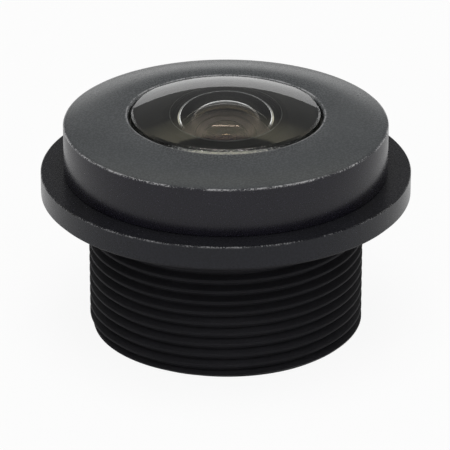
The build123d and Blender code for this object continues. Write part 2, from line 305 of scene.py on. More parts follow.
def carried_on(mesh: Shell, opening: list, points: list[Point]) -> list:
    """Carries a turned wall on from an opening, through each radius and height in turn.

    Args:
        mesh: the mesh that has the opening.
        opening: the edges round it.
        points: radius and height of each next ring.

    Returns:
        The edges round the last ring.
    """
    for radius, height in points:
        grown = bmesh.ops.extrude_edge_only(mesh, edges=opening)["geom"]
        for vert in of_kind(grown, Vert):
            angle = math.atan2(vert.co.y, vert.co.x)
            vert.co = (radius * math.cos(angle), radius * math.sin(angle), height)
        opening = of_kind(grown, Edge)
    return opening


def bridged(mesh: Shell, one: list, other: list) -> None:
    """Joins two openings with a wall.

    Two openings in one plane only pair up rightly while one of them is lowered.

    Args:
        mesh: the mesh that has the openings.
        one: the edges round the first opening.
        other: the edges round the other.
    """
    lowered = list({vert for edge in other for vert in edge.verts})
    level = abs(one[0].verts[0].co.z - lowered[0].co.z) < LEVEL_GAP
    if level:
        bmesh.ops.translate(mesh, verts=lowered, vec=(0, 0, -1))
    bmesh.ops.bridge_loops(mesh, edges=one + other)
    if level:
        bmesh.ops.translate(mesh, verts=lowered, vec=(0, 0, 1))


def broken_edges(mesh: Shell, width: float) -> None:
    """Breaks every sharp ring edge of a turned shell.

    Args:
        mesh: the shell.
        width: width of the broken edge.
    """
    bmesh.ops.recalc_face_normals(mesh, faces=mesh.faces[:])
    sharp = [
        edge
        for edge in mesh.edges
        if len(edge.link_faces) == 2
        and edge.calc_face_angle(0) > SHARP_ANGLE
        and abs(edge.verts[0].co.z - edge.verts[1].co.z) < LEVEL_GAP
    ]
    bmesh.ops.bevel(mesh, geom=sharp, offset=width, affect="EDGES", segments=2, profile=0.5, material=-1)


def face_places(mesh: Shell) -> Iterator[tuple[bmesh.types.BMFace, float, float]]:
    """Each face with the radius and the height of its middle."""
    middles = ((face, face.calc_center_median()) for face in mesh.faces)
    return ((face, math.hypot(middle.x, middle.y), middle.z) for face, middle in middles)


def flat_ring(bore: float, radius: float, low: float, high: float, steps: int) -> Shell:
    """A plain ring between two radii and two heights, turned in this many steps."""
    return Section((bore, low)).to((radius, low), (radius, high), (bore, high)).turned(steps)


def made_object(name: str, mesh: Shell, finishes: list[Finish]) -> bpy.types.Object:
    """Makes a shell an object of the scene.

    Args:
        name: the object's name.
        mesh: the shell, in metres.
        finishes: its materials, in the order of its faces' indices.

    Returns:
        The object.
    """
    data = bpy.data.meshes.new(name)
    mesh.to_mesh(data)
    mesh.free()
    for finish in finishes:
        data.materials.append(finish)
    thing = bpy.data.objects.new(name, data)
    bpy.context.scene.collection.objects.link(thing)
    return thing


def made_piece(
    name: str,
    mesh: Shell,
    finishes: list[Finish],
    node: str,
    body: Body = Body.BARREL,
    even_shade: bool = False,
) -> None:
    """Brings a shell to metres, makes it an object and hangs it on its body.

    Args:
        name: the piece's name.
        mesh: its shell, in millimetres.
        finishes: its materials, in the order of its faces' indices.
        node: the CAD node that it stands for.
        body: the body that it moves with.
        even_shade: whether broad faces keep their own shade beside narrow edge breaks.
    """
    bmesh.ops.remove_doubles(mesh, verts=mesh.verts[:], dist=MERGE_GAP)
    bmesh.ops.dissolve_degenerate(mesh, edges=mesh.edges[:], dist=MERGE_GAP / 4)
    bmesh.ops.recalc_face_normals(mesh, faces=mesh.faces[:])
    for face in mesh.faces:
        face.smooth = True
    for edge in mesh.edges:
        one_finish = len({face.material_index for face in edge.link_faces}) == 1
        edge.smooth = one_finish and edge.calc_face_angle(0) < SHARP_ANGLE
    open_edges = sum(1 for edge in mesh.edges if not edge.is_manifold)
    bmesh.ops.transform(mesh, matrix=Matrix.Scale(METRES, 4), verts=mesh.verts[:])
    piece = made_object(name, mesh, finishes)
    if even_shade:
        weights = piece.modifiers.new("even_shade", "WEIGHTED_NORMAL")
        weights.keep_sharp = True
        weights.weight = 100
    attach(piece, body.value)
    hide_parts(node)
    LOG.info("%s: %d faces, %d open edges, on %s", name, len(piece.data.polygons), open_edges, body.value)


# Finishes


class Nodes:
    """Short calls for building the node tree of one material or of the world."""

    def __init__(self, owner: bpy.types.ID) -> None:
        """Starts an empty tree with an output.

        Args:
            owner: the material or the world.
        """
        self.owner = owner
        owner.use_nodes = True
        self.tree = owner.node_tree
        self.tree.nodes.clear()
        kind = "World" if isinstance(owner, bpy.types.World) else "Material"
        self.output = self.tree.nodes.new("ShaderNodeOutput" + kind)

    def add(self, kind: str, values: dict | None = None, **settings: object) -> bpy.types.Node:
        """Adds a node.

        Args:
            kind: the node type's name after ShaderNode.
            values: what its input sockets are set to or linked from, by name or index.
            settings: the node's own properties.

        Returns:
            The node.
        """
        node = self.tree.nodes.new("ShaderNode" + kind)
        for key, value in settings.items():
            setattr(node, key, value)
        for key, value in (values or {}).items():
            if isinstance(value, Socket):
                self.tree.links.new(value, node.inputs[key])
            else:
                node.inputs[key].default_value = value
        return node

    def math(self, operation: str, *values: object) -> Socket:
        """The result of a math node with these inputs, numbers or sockets."""
        return self.add("Math", dict(enumerate(values)), operation=operation).outputs[0]

    def distance(self, one: Socket, other: Socket) -> Socket:
        """The root of the sum of two squares."""
        squares = [self.math("POWER", value, 2.0) for value in (one, other)]
        return self.math("SQRT", self.math("ADD", *squares))

    def scaled(self, vector: Socket, scale: object) -> Socket:
        """A vector or colour times a number or socket."""
        return self.add("VectorMath", {0: vector, "Scale": scale}, operation="SCALE").outputs[0]

    def place(self) -> Socket:
        """Object coordinates in millimetres."""
        return self.scaled(self.add("TexCoord").outputs["Object"], 1 / METRES)

    def noise(self, place: Socket, per_mm: float, detail: float) -> Socket:
        """Noise about 0.5, with this many cells a millimetre and octaves of detail."""
        return self.add("TexNoise", {"Vector": place, "Scale": per_mm, "Detail": detail}).outputs["Fac"]

    def ranged(self, value: Socket, low: float, high: float, first: float = 0.0, last: float = 1.0) -> Socket:
        """A value mapped evenly from low and high to a first and a last result, and held between them."""
        sockets = {"Value": value, "From Min": low, "From Max": high, "To Min": first, "To Max": last}
        return self.add("MapRange", sockets).outputs["Result"]

    def around(self, noise: Socket, middle: float, spread: float = 0.05) -> Socket:
        """A value that follows a noise by no more than this spread."""
        return self.ranged(noise, *NOISE_SPAN, middle - spread, middle + spread)

    def blend(self, share: Socket, one: object, other: object) -> Socket:
        """A colour between two others.

        Args:
            share: how much of the other there is.
            one: the first colour, as numbers or a socket.
            other: the other colour.

        Returns:
            The blended colour.
        """
        one, other = (end if isinstance(end, Socket) else (*end, 1) for end in (one, other))
        return self.add("Mix", {"Factor": share, 6: one, 7: other}, data_type="RGBA").outputs[2]

    def bump(self, pattern: Socket, height: float, strength: float) -> Socket:
        """The normal over a pattern that stands up by a height in millimetres."""
        sockets = {"Strength": strength, "Distance": height * METRES, "Height": pattern}
        return self.add("Bump", sockets).outputs[0]

    def finished(self, shader: bpy.types.Node) -> bpy.types.ID:
        """Sends a shader to the output and gives the material or world."""
        self.tree.links.new(shader.outputs[0], self.output.inputs["Surface"])
        return self.owner


@dataclass(frozen=True)
class WornGlintEdge:
    """A turned edge with specks of metal showing: anodising rubbed through, and painted glints along the
    edge.
    """

    radius: float
    height: float
    width: float
    amount: float
    cover: float = 0.0


@dataclass(frozen=True)
class AnodisedFinish:
    """Black anodised aluminium over a fine blasted or turned surface, its sides painted as shaded and its
    upper faces as lit.
    """

    name: str
    # side is the tone of the sides, painted as shade; face is the tone of the upper faces, painted as light.
    side: Colour
    face: Colour
    roughness: float
    specular: float
    grain_per_mm: float
    grain_height: float
    lit_face_from: float = 0.0
    worn_glints: tuple[WornGlintEdge, ...] = ()
    bare_and_glint: Colour = (0.42, 0.42, 0.43)
    bare_gloss: float = 0.12
    specks_per_mm: float = 15.0
    patches_per_mm: float = 0.8
    patch_share: float = 0.6
    speck_span: Point = (0.81, 0.95)
    lit_face_fade: float = 0.06
    grain_span: Point = (0.25, 0.75)
    grain_shade: Point = (0.8, 1.2)
    clouds_per_mm: float = 0.6
    cloud_shade: Point = (0.93, 1.07)
    bump_strength: float = 0.6

    def wear_and_glint_mask(self, nodes: Nodes, place: Socket) -> Socket:
        """How far the edges show specks of metal at each place, as wear and as painted glints.

        Args:
            nodes: the material being built.
            place: object coordinates in millimetres.

        Returns:
            A mask from 0 to 1.
        """
        parts = nodes.add("SeparateXYZ", {0: place}).outputs
        radius = nodes.distance(parts[0], parts[1])
        specks = nodes.noise(place, self.specks_per_mm, 2.0)
        patches = nodes.noise(place, self.patches_per_mm, 1.0)
        spots = nodes.math("ADD", specks, nodes.math("MULTIPLY", patches, self.patch_share))
        mask: Socket | float = 0.0
        for edge in self.worn_glints:
            across = nodes.math("SUBTRACT", radius, edge.radius)
            up = nodes.math("SUBTRACT", parts[2], edge.height)
            near = nodes.ranged(nodes.distance(across, up), 0.0, edge.width, 1.0, 0.0)
            chance = nodes.ranged(spots, *(limit - edge.cover for limit in self.speck_span))
            rubbed = nodes.math("MULTIPLY", nodes.math("MULTIPLY", near, chance), edge.amount)
            mask = nodes.math("MAXIMUM", mask, rubbed)
        return mask

    def made(self) -> Finish:
        """Builds the finish.

        Returns:
            The material.
        """
        nodes = Nodes(bpy.data.materials.new(self.name))
        place = nodes.place()
        grain = nodes.noise(place, self.grain_per_mm, 3.0)
        cloud = nodes.noise(place, self.clouds_per_mm, 2.0)
        height = nodes.add("SeparateXYZ", {0: place}).outputs[2]
        # Painted light and shade: the face tone above the given height, the side tone below it.
        upper = nodes.ranged(height, self.lit_face_from, self.lit_face_from + self.lit_face_fade)
        grained = nodes.ranged(grain, *self.grain_span, *self.grain_shade)
        shade = nodes.math("MULTIPLY", grained, nodes.ranged(cloud, *NOISE_SPAN, *self.cloud_shade))
        tone = nodes.scaled(nodes.blend(upper, self.side, self.face), shade)
        rough = nodes.around(grain, self.roughness)
        # Specks of metal on the edges: partly wear, partly painted glints.
        if self.worn_glints:
            mask = self.wear_and_glint_mask(nodes, place)
            tone = nodes.blend(mask, tone, self.bare_and_glint)
            rough = nodes.math("SUBTRACT", rough, nodes.math("MULTIPLY", mask, self.bare_gloss))
        looks = {"Base Color": tone, "Roughness": rough, "Specular IOR Level": self.specular}
        looks["Normal"] = nodes.bump(grain, self.grain_height, self.bump_strength)
        return nodes.finished(nodes.add("BsdfPrincipled", looks))


@dataclass(frozen=True)
class GlassFinish:
    """Polished or finely ground glass, with or without an anti-reflection coating."""

    name: str
    tint: Colour
    index: float
    coating_nm: float
    coating_index: float = 1.38
    roughness: float = 0.0
    chip_height: float = 0.0
    chips_per_mm: float = 9.0
    clouds_per_mm: float = 0.35
    cloud_shade: float = 0.985

    def made(self) -> Finish:
        """Builds the finish.

        Returns:
            The material.
        """
        nodes = Nodes(bpy.data.materials.new(self.name))
        place = nodes.place()
        cloud = nodes.ranged(nodes.noise(place, self.clouds_per_mm, 1.0), *NOISE_SPAN)
        looks = {
            "Base Color": nodes.blend(cloud, self.tint, tuple(part * self.cloud_shade for part in self.tint)),
            "Roughness": self.roughness,
            "IOR": self.index,
            "Transmission Weight": 1.0,
            "Thin Film Thickness": self.coating_nm,
            "Thin Film IOR": self.coating_index,
        }
        if self.chip_height:
            looks["Normal"] = nodes.bump(nodes.noise(place, self.chips_per_mm, 3.0), self.chip_height, 1.0)
        return nodes.finished(nodes.add("BsdfPrincipled", looks))


@dataclass(frozen=True)
class DullFinish:
    """A dull layer with a fine grain: ink, film, rubber, ground glass or a lens's rim."""

    name: str
    colour: Colour
    roughness: float
    specular: float
    grain_per_mm: float
    grain_height: float
    spread: float = 0.15
    clouds_per_mm: float = 1.2
    tone_span: Point = (0.7, 1.3)
    bump_strength: float = 0.5

    def made(self) -> Finish:
        """Builds the finish.

        Returns:
            The material.
        """
        nodes = Nodes(bpy.data.materials.new(self.name))
        place = nodes.place()
        grain = nodes.noise(place, self.grain_per_mm, 3.0)
        clouded = nodes.math("ADD", grain, nodes.noise(place, self.clouds_per_mm, 2.0))
        low, high = (
            tuple(part * share for part in self.colour) for share in (1 - self.spread, 1 + self.spread)
        )
        looks = {
            "Base Color": nodes.blend(nodes.ranged(clouded, *self.tone_span), low, high),
            "Roughness": nodes.around(grain, self.roughness),
            "Specular IOR Level": self.specular,
            "Normal": nodes.bump(grain, self.grain_height, self.bump_strength),
        }
        return nodes.finished(nodes.add("BsdfPrincipled", looks))


class Finishes:
    """Every finish of the lens, made once. Values without a name stand in the order of their fields."""

    def __init__(self) -> None:
        """Makes the materials."""
        self.barrel = AnodisedFinish(
            name="barrel_black",
            # The flange's top and all above it are painted a little lighter than the sides, as painted light.
            side=(0.0080, 0.0086, 0.0126), face=(0.0100, 0.0100, 0.0118), lit_face_from=7.10,
            roughness=0.28, specular=0.26, grain_per_mm=11.0, grain_height=0.003,
            # Specks of metal on the flange's edges: wear, and painted glints.
            worn_glints=(
                WornGlintEdge(radius=8.0, height=7.14, width=0.07, amount=0.45),
                WornGlintEdge(radius=7.93, height=6.11, width=0.05, amount=0.2),
            ),
        ).made()
        # A lighter copy of the barrel's black: painted light that lifts the shade in the threads' grooves and
        # under the flange.
        self.thread = AnodisedFinish(
            name="thread_black_painted_light",
            side=(0.0150, 0.0148, 0.0172), face=(0.0150, 0.0148, 0.0172),
            roughness=0.58, specular=0.06, grain_per_mm=11.0, grain_height=0.004,
        ).made()
        self.cap = AnodisedFinish(
            name="cap_black",
            # The side is painted far darker than the cone face, as painted shade.
            side=(0.0062, 0.0055, 0.0106), face=(0.0570, 0.0612, 0.0645), lit_face_from=9.27,
            roughness=0.27, specular=0.34, grain_per_mm=12.0, grain_height=0.0015,
            # Specks of metal on the top edge, the rim and the opening: wear, and painted glints, brightest at
            # the rim.
            worn_glints=(
                WornGlintEdge(radius=6.98, height=9.29, width=0.07, amount=0.85, cover=0.06),
                WornGlintEdge(radius=4.28, height=9.70, width=0.06, amount=0.85, cover=0.12),
                WornGlintEdge(radius=4.20, height=9.60, width=0.09, amount=0.9, cover=0.08),
            ),
        ).made()
        self.ring = AnodisedFinish(
            name="ring_black",
            side=(0.012, 0.012, 0.013), face=(0.012, 0.012, 0.013),
            roughness=0.5, specular=0.2, grain_per_mm=14.0, grain_height=0.006,
        ).made()
        self.film = DullFinish("film_black", (0.012, 0.012, 0.012), 0.7, 0.2, 18.0, 0.003).made()
        self.gasket = DullFinish("gasket_black", (0.025, 0.025, 0.026), 0.6, 0.3, 14.0, 0.004).made()
        self.rubber = DullFinish("rubber_black", (0.012, 0.012, 0.012), 0.45, 0.4, 9.0, 0.004).made()
        self.ink = DullFinish("edge_ink", (0.050, 0.050, 0.046), 0.75, 0.1, 16.0, 0.003, 0.1).made()
        self.ground = DullFinish("ground_bevel", (0.24, 0.25, 0.24), 0.7, 0.3, 30.0, 0.003, 0.3).made()
        self.coated = GlassFinish("front_glass_clear", (0.97, 0.985, 0.97), 1.77, 0.0).made()
        self.hollow = GlassFinish("hollow_glass_clear", (0.97, 0.97, 0.96), 1.77, 128.0, 1.55).made()
        self.strip = GlassFinish(
            "strip_glass_clear", (0.97, 0.985, 0.97), 1.77, 0.0, roughness=0.12, chip_height=0.02
        ).made()
        self.land = DullFinish("lens_land", (0.86, 0.72, 0.70), 0.6, 0.3, 14.0, 0.003, 0.1).made()
        self.inner = GlassFinish("inner_glass_clear", (0.97, 0.96, 0.95), 1.62, 112.0, 1.40).made()
        self.dense = GlassFinish("dense_glass_clear", (0.99, 0.97, 0.93), 1.76, 110.0).made()
        self.filter = GlassFinish("filter_glass_blue", (0.80, 0.90, 0.96), 1.52, 260.0, 1.9).made()


# Sub-assemblies


@dataclass
class Barrel:
    """The barrel, one turned piece: mount thread, flange, threaded neck and the bores inside."""

    finishes: Finishes
    steps: int = 192
    mount_thread: Thread = Thread(
        nominal_radius=6.0, crest_radius=5.96, root_radius=5.693, ridge_height=0.202,
        low=0.0, high=5.70, cone=EndCone(5.81, 0.0, Side.OUTSIDE),
    )
    neck_thread: Thread = Thread(
        nominal_radius=6.25, crest_radius=6.23, root_radius=5.9594, ridge_height=0.10,
        low=7.43, high=8.7513, flank_gap=0.015, cone=EndCone(6.11, 8.7513, Side.OUTSIDE),
    )
    ring_thread: Thread = Thread(
        nominal_radius=4.25, crest_radius=4.27, root_radius=3.9794, ridge_height=0.05,
        low=0.0, high=0.90, flank_gap=-0.015, cone=EndCone(4.0994, 0.0, Side.INSIDE),
    )
    thread_within: float = 5.5
    relief_radius: float = 5.623
    seat_height: float = 6.05
    undercut: Point = (6.15, 6.15)
    flange_radius: float = 8.0
    flange_top: float = 7.15
    lower_chamfer: float = 0.13
    upper_break: float = 0.03
    neck_relief_radius: float = 5.8794
    seal_groove: Point = (5.75, 8.4013)
    front_bore: Point = (5.29, 8.2813)
    large_bore: Point = (3.52, 6.5913)
    small_bore: Point = (2.92, 2.0)
    ledge: Point = (2.15, 1.55)
    filter_bore: Point = (3.44, 1.20)
    ring_relief_radius: float = 4.33
    wall_stub: float = 0.1

    def outside(self) -> list[Point]:
        """The wall from the mount thread's end over the flange to the neck's relief.

        Returns:
            The radius and height of each ring.
        """
        edge = self.flange_radius
        return [
            (self.relief_radius, self.mount_thread.high),
            (self.relief_radius, self.undercut[1]),
            (self.undercut[0], self.undercut[1]),
            (self.undercut[0], self.seat_height),
            (edge - self.lower_chamfer, self.seat_height),
            (edge, self.seat_height + self.lower_chamfer),
            (edge, self.flange_top - self.upper_break),
            (edge - self.upper_break, self.flange_top),
            (self.neck_relief_radius, self.flange_top),
            (self.neck_relief_radius, self.flange_top + self.wall_stub),
        ]

    def inside(self) -> list[Point]:
        """The stepped bore from the neck's mouth down to the retaining ring's thread.

        Returns:
            The radius and height of each ring.
        """
        relief = (self.ring_relief_radius, self.ring_thread.high + self.wall_stub)
        bores = (self.seal_groove, self.front_bore, self.large_bore, self.small_bore, self.ledge)
        wall, height = [], self.neck_thread.high
        for radius, floor in (*bores, self.filter_bore, relief):
            wall += [(radius, height), (radius, floor)]
            height = floor
        return wall

    def build(self) -> None:
        """Builds and dresses the barrel."""
        mesh = bmesh.new()
        rear, upper = self.mount_thread.wind(mesh, self.steps)
        foot, mouth = self.neck_thread.wind(mesh, self.steps)
        ring_rear, ring_top = self.ring_thread.wind(mesh, self.steps)
        outer_end = carried_on(mesh, upper, self.outside())
        foot = carried_on(mesh, foot, [(self.neck_relief_radius, self.neck_thread.low)])
        bridged(mesh, outer_end, foot)
        inner_end = carried_on(mesh, mouth, self.inside())
        ring_top = carried_on(mesh, ring_top, [(self.ring_relief_radius, self.ring_thread.high)])
        bridged(mesh, inner_end, ring_top)
        bridged(mesh, rear, ring_rear)
        # The threads' faces take the lighter thread black, painted light against their shade.
        for face, radius, height in face_places(mesh):
            mount = radius > self.thread_within and 0 < height < self.undercut[1]
            ring = radius < self.ring_relief_radius and 0 < height < self.ring_thread.high
            face.material_index = int(mount or ring)
        shades = [self.finishes.barrel, self.finishes.thread]
        made_piece("barrel_turned", mesh, shades, "barrel")


@dataclass
class FrontCap:
    """The screw-on head: straight side, cone face, chamfered opening and its inside thread."""

    finishes: Finishes
    steps: int = 192
    thread: Thread = Thread(
        nominal_radius=6.25, crest_radius=6.27, root_radius=5.9794, ridge_height=0.10,
        low=7.15, high=8.4913, flank_gap=-0.015, cone=EndCone(6.0994, 7.15, Side.INSIDE),
    )
    radius: float = 7.0
    mouth_chamfer: float = 0.03
    edge_height: float = 9.3013
    edge_break: float = 0.04
    edge_shares: Point = (0.3, 0.25)
    cone_rise: float = 0.006
    rim: Point = (4.28, 9.7013)
    rim_outer: Point = (0.02, -0.003)
    rim_inner: Point = (-0.015, -0.015)
    opening: Point = (4.20, 9.6213)
    opening_round: float = 0.01
    wall_stub: float = 0.05
    lip_height: float = 9.3013
    cavity_radius: float = 5.40
    roof: float = 8.8513
    relief_radius: float = 6.34

    def build(self) -> None:
        """Builds and dresses the cap."""
        mesh = bmesh.new()
        mouth, inner_top = self.thread.wind(mesh, self.steps)
        (rim, rim_height), (bore, bore_height) = self.rim, self.opening
        inner_wall = [
            (self.relief_radius, self.thread.high),
            (self.relief_radius, self.roof),
            (self.cavity_radius, self.roof),
            (self.cavity_radius, self.lip_height),
            (bore, self.lip_height),
            (bore, bore_height - self.wall_stub),
        ]
        across, down = (self.edge_break * share for share in self.edge_shares)
        outer_wall = [
            (self.radius - self.mouth_chamfer, self.thread.low),
            (self.radius, self.thread.low + self.mouth_chamfer),
            (self.radius, self.edge_height - self.edge_break),
            (self.radius - across, self.edge_height - down),
            (self.radius - self.edge_break, self.edge_height + self.cone_rise),
            (rim + self.rim_outer[0], rim_height + self.rim_outer[1]),
            (rim + self.rim_inner[0], rim_height + self.rim_inner[1]),
            (bore + self.opening_round, bore_height + self.opening_round),
            (bore, bore_height - self.opening_round),
        ]
        bridged(mesh, carried_on(mesh, inner_top, inner_wall), carried_on(mesh, mouth, outer_wall))
        made_piece("cap_turned", mesh, [self.finishes.cap], "front_cap", Body.CAP)


@dataclass
class FrontGroup:
    """The domed front lens with its gasket, seal ring and baffle."""

    finishes: Finishes
    steps: int = 160
    arc_steps: int = 28
    seat: float = 8.2813
    shoulder: float = 9.1513
    radius: float = 5.25
    bevel: float = 0.08
    dome_radius: float = 3.98
    crown_bevel: float = 0.09
    collar: float = 0.65
    dome_curve: float = 10.5
    clear_strip: float = 0.27
    mouth_radius: float = 2.35
    mouth_height: float = 0.20
    hollow_radius: float = 2.10
    hollow_curve: float = 2.82
    hollow_bevel: float = 0.03
    gasket_inner: float = 4.25
    gasket_outer: float = 5.20
    gasket_top: float = 9.3013
    gasket_break: float = 0.02
    seal_centre: float = 5.51
    seal_radius: float = 0.22
    seal_facets: int = 32
    seal_floor: float = 8.4013
    baffle_bore: float = 2.20
    baffle_outer: float = 3.48
    baffle_low: float = 8.2313

    def build_lens(self) -> None:
        """Builds the domed lens, with its edge inked and its hollow's rim ground."""
        rim = self.shoulder + self.collar
        top = rim + lens_rise(self.dome_radius, self.dome_curve)
        wall = self.dome_radius + self.crown_bevel
        hollow_rim = self.seat + self.mouth_height + self.hollow_bevel
        hollow_top = hollow_rim + lens_rise(self.hollow_radius, self.hollow_curve)
        section = Section((0, top))
        section.arc(self.dome_radius, rim, self.dome_curve, self.arc_steps)
        section.to(
            (wall, rim - self.crown_bevel),
            (wall, rim - self.clear_strip),
            (wall, self.shoulder),
            (self.radius - self.bevel, self.shoulder),
            (self.radius, self.shoulder - self.bevel),
            (self.radius, self.seat + self.bevel),
            (self.radius - self.bevel, self.seat),
            (self.mouth_radius, self.seat),
            (self.hollow_radius + self.hollow_bevel, self.seat + self.mouth_height),
            (self.hollow_radius, hollow_rim),
        )
        section.arc(0, hollow_top, self.hollow_curve, self.arc_steps)
        mesh = section.turned(self.steps)
        for face, radius, height in face_places(mesh):
            if radius > self.hollow_radius + self.hollow_bevel and height < rim - self.clear_strip:
                face.material_index = GlassPart.INKED
            elif abs(radius - self.hollow_radius) < self.hollow_bevel and height < hollow_rim:
                face.material_index = GlassPart.GROUND
            elif radius < self.hollow_radius and height < hollow_top + LEVEL_GAP:
                face.material_index = GlassPart.HOLLOW
            elif radius > self.dome_radius:
                face.material_index = GlassPart.STRIP
        kinds = self.finishes
        shades = [kinds.coated, kinds.ink, kinds.ground, kinds.hollow, kinds.strip]
        made_piece("front_glass", mesh, shades, "front_lens")

    def build_gasket(self) -> None:
        """Builds the flat gasket under the cap's lip."""
        mesh = flat_ring(self.gasket_inner, self.gasket_outer, self.shoulder, self.gasket_top, self.steps)
        broken_edges(mesh, self.gasket_break)
        shades = [self.finishes.gasket]
        made_piece("gasket_ring", mesh, shades, "front_gasket", Body.GASKET, even_shade=True)

    def build_seal(self) -> None:
        """Builds the rubber seal ring."""
        mesh = bmesh.new()
        middle = Matrix.Translation((self.seal_centre, 0, self.seal_floor + self.seal_radius))
        upright = middle @ Matrix.Rotation(math.pi / 2, 4, "X")
        bmesh.ops.create_circle(mesh, segments=self.seal_facets, radius=self.seal_radius, matrix=upright)
        whole_turn(mesh, self.steps)
        made_piece("seal_cord_ring", mesh, [self.finishes.rubber], "seal_ring")

    def build_baffle(self) -> None:
        """Builds the thin blackened sheet under the front lens."""
        low, high = self.baffle_low + CONTACT_GAP, self.seat - CONTACT_GAP
        mesh = flat_ring(self.baffle_bore, self.baffle_outer, low, high, self.steps)
        made_piece("front_baffle_sheet", mesh, [self.finishes.film], "front_baffle")

    def build(self) -> None:
        """Builds and dresses the front group."""
        self.build_lens()
        self.build_gasket()
        self.build_seal()
        self.build_baffle()


@dataclass(frozen=True)
class InnerLens:
    """One lens of the stack behind the front one, or one half of its cemented pair."""

    name: str
    node: str
    radius: float
    seat: float
    rim: float
    front_clear: float
    front_curve: float
    rear_clear: float = 0.0
    rear_curve: float = 0.0
    slot: str = "inner_glass"
    inked: bool = False


@dataclass(frozen=True)
class InnerRing:
    """One spacer or sheet of the stack."""

    name: str
    node: str
    bore: float
    radius: float
    low: float
    high: float
    chamfer: float = 0.0


@dataclass
class InnerStack:
    """The lenses, spacers, stop and baffle behind the front lens."""

    finishes: Finishes
    steps: int = 128
    arc_steps: int = 20
    # The sizes stand in the order of the fields. The halves of the pair share the joint between them.
    lenses: tuple[InnerLens, ...] = (
        InnerLens("second_glass", "second_lens", 3.48, 6.5913, 7.2513, 2.70, 4.5, 1.65, 1.9),
        InnerLens("third_glass", "third_lens", 2.88, 5.5513, 6.1913, 2.30, 5.0),
        InnerLens("rear_glass", "rear_lens", 2.88, 2.0, 2.60, 2.35, 5.2, 2.05, -9.0),
        InnerLens(
            "doublet_front_glass", "doublet_front_lens",
            2.88, 4.60, 4.85, 2.40, 6.0, 2.88, -5.5, inked=True,
        ),
        InnerLens(
            "doublet_rear_glass", "doublet_rear_lens",
            2.88, 3.40, 4.60, 2.88, -5.5, slot="dense_glass", inked=True,
        ),
    )
    rings: tuple[InnerRing, ...] = (
        InnerRing("front_spacer_ring", "front_spacer", 2.75, 3.48, 7.2513, 8.2313, 0.08),
        InnerRing("middle_spacer_ring", "middle_spacer", 2.35, 2.88, 6.1913, 6.5913, 0.08),
        InnerRing("stop_sheet", "aperture_stop", 0.65, 2.88, 5.4713, 5.5513),
        InnerRing("stop_spacer_ring", "stop_spacer", 2.45, 2.88, 4.85, 5.4713, 0.08),
        InnerRing("rear_baffle_sheet", "rear_baffle", 2.10, 2.88, 3.35, 3.40),
        InnerRing("rear_spacer_ring", "rear_spacer", 2.40, 2.88, 2.60, 3.35, 0.08),
    )
    rim_gap: float = 0.01
    edge_gap: float = 0.02

    def build_lens(self, lens: InnerLens) -> None:
        """Builds one lens, with an inked edge or with a pale edge and pale flat rims.

        Args:
            lens: its sizes.
        """
        top = lens.rim + lens_rise(lens.front_clear, lens.front_curve)
        section = Section((0, top))
        section.arc(lens.front_clear, lens.rim, lens.front_curve, self.arc_steps)
        section.to((lens.radius, lens.rim), (lens.radius, lens.seat))
        if lens.rear_curve:
            section.to((lens.rear_clear, lens.seat))
            bottom = lens.seat + lens_rise(lens.rear_clear, lens.rear_curve)
            section.arc(0, bottom, lens.rear_curve, self.arc_steps)
        else:
            section.to((0, lens.seat))
        mesh = section.turned(self.steps)
        for face, radius, height in face_places(mesh):
            front = radius > lens.front_clear and abs(height - lens.rim) < self.rim_gap
            rear = radius > lens.rear_clear and abs(height - lens.seat) < self.rim_gap
            rims = not lens.inked and (front or (rear and lens.rear_curve != 0))
            face.material_index = int(rims or radius > lens.radius - self.edge_gap)
        glass = self.finishes.dense if lens.slot == "dense_glass" else self.finishes.inner
        edge = self.finishes.ink if lens.inked else self.finishes.land
        made_piece(lens.name, mesh, [glass, edge], lens.node)

    def build_ring(self, ring: InnerRing) -> None:
        """Builds one spacer or sheet.

        Args:
            ring: its sizes.
        """
        bore, cut = ring.bore, ring.chamfer
        low, high = ring.low + CONTACT_GAP, ring.high - CONTACT_GAP
        wall = ((bore, high), (bore, low))
        if cut:
            wall = ((bore + cut, high), (bore, high - cut), (bore, low + cut), (bore + cut, low))
        mesh = Section((ring.radius, low)).to((ring.radius, high), *wall).turned(self.steps)
        shade, slot = (self.finishes.ring, "ring_anodised") if cut else (self.finishes.film, "black_film")
        made_piece(ring.name, mesh, [shade], ring.node)

    def build(self) -> None:
        """Builds and dresses the stack."""
        for lens in self.lenses:
            self.build_lens(lens)
        for ring in self.rings:
            self.build_ring(ring)


@dataclass
class RearGroup:
    """The filter, its washer and the retaining ring at the rear."""

    finishes: Finishes
    steps: int = 128
    filter_radius: float = 3.40
    filter_low: float = 1.25
    filter_high: float = 1.55
    filter_break: float = 0.03
    washer_bore: float = 2.80
    washer_low: float = 1.15

    def build_filter(self) -> None:
        """Builds the coated filter disc."""
        low, high, edge, cut = self.filter_low, self.filter_high, self.filter_radius, self.filter_break
        corners = ((edge - cut, high), (edge, high - cut), (edge, low + cut), (edge - cut, low))
        mesh = Section((0, high)).to(*corners, (0, low)).turned(self.steps)
        made_piece("filter_disc", mesh, [self.finishes.filter], "infrared_filter")

    def build_washer(self) -> None:
        """Builds the thin washer on the filter."""
        mesh = flat_ring(self.washer_bore, self.filter_radius, self.washer_low, self.filter_low, self.steps)
        shades = [self.finishes.gasket]
        made_piece("washer_ring", mesh, shades, "filter_washer", Body.WASHER)

    def build(self, nodes: dict) -> None:
        """Builds the group and dresses the retaining ring.

        Args:
            nodes: the CAD nodes by name.
        """
        self.build_filter()
        self.build_washer()
        for slot in nodes["rear_retainer"].material_slots:
            slot.material = self.finishes.ring
        LOG.info("rear_retainer: dressed")


# Studio


